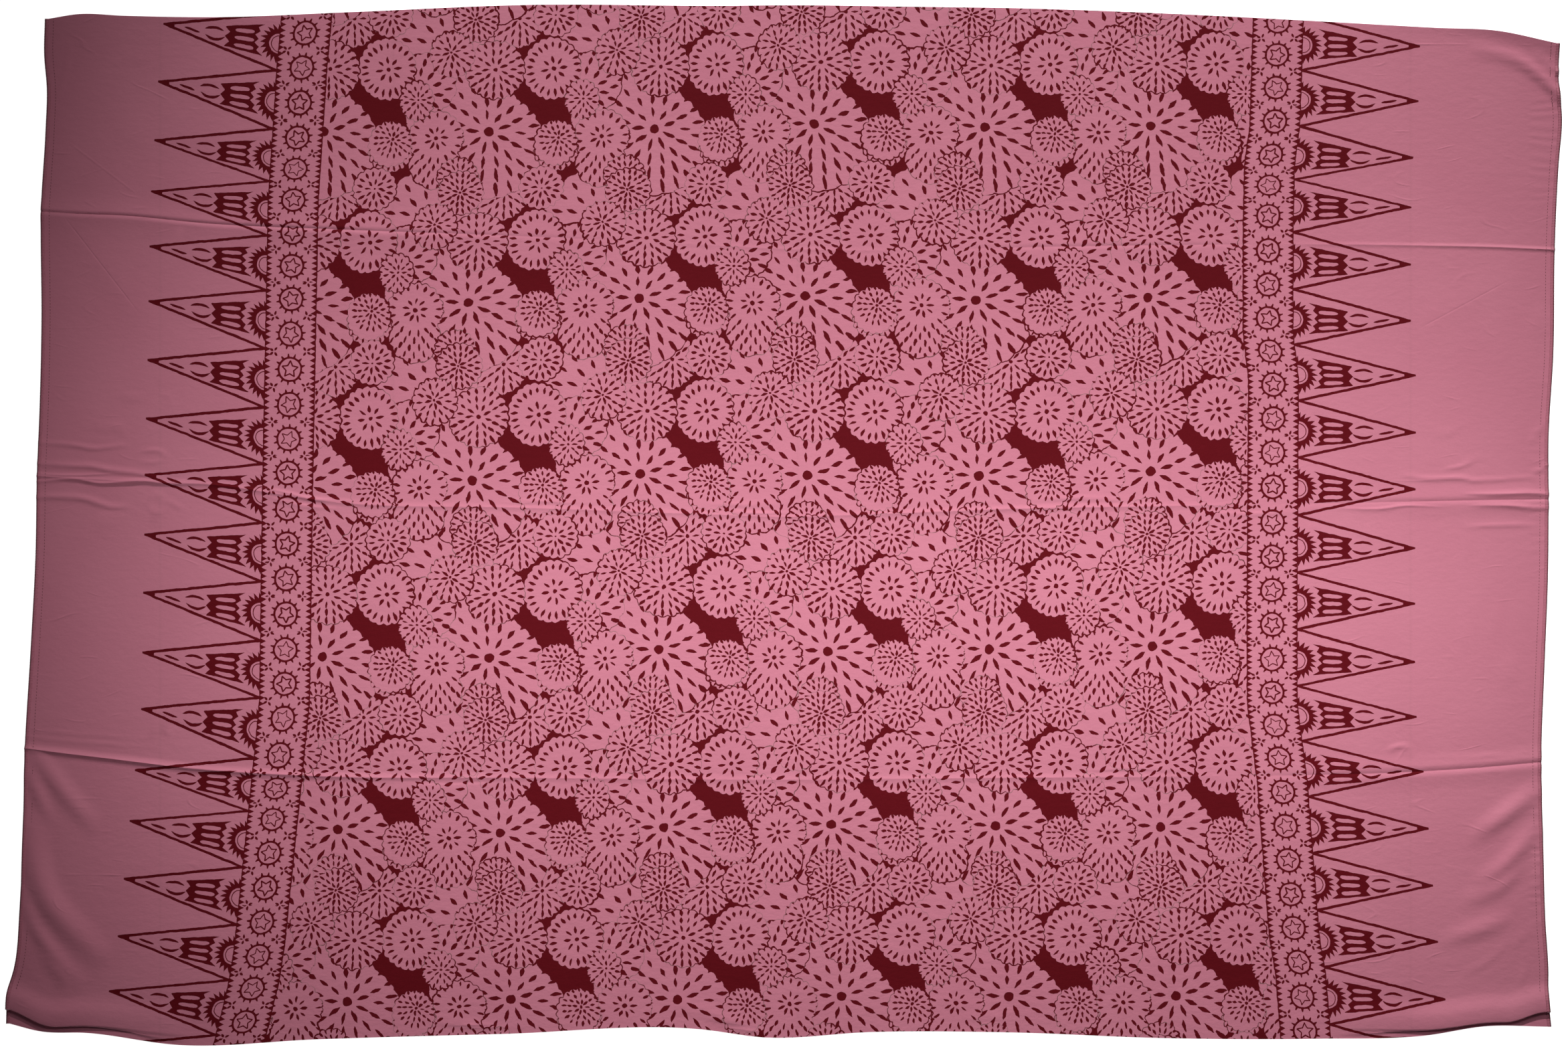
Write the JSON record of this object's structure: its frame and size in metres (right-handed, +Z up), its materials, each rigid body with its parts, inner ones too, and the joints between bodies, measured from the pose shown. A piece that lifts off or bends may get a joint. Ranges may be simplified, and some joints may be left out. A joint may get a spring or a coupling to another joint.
{
  "type": "sarong laid out flat",
  "caption": "Flat rectangular sarong cloth with a narrow rolled hem along each end, laid out with ironed fold lines and tucked lower corners.",
  "frame": {"origin": "on the surface that the cloth lies on, under the middle of its outline", "axes": "+X along the length of the cloth to its right end, +Y across it to its top edge, +Z up from the surface"},
  "size_m": [1.7438, 1.1668, 0.0062],
  "materials": {
    "printed_cloth": "soft woven rayon, matt with a slight sheen, stamped print",
    "hem_thread": "overlocked thread"
  },
  "bodies": {
    "root": {"cloth_panel": "printed_cloth", "left_hem": "hem_thread", "right_hem": "hem_thread"}
  },
  "joints": []
}
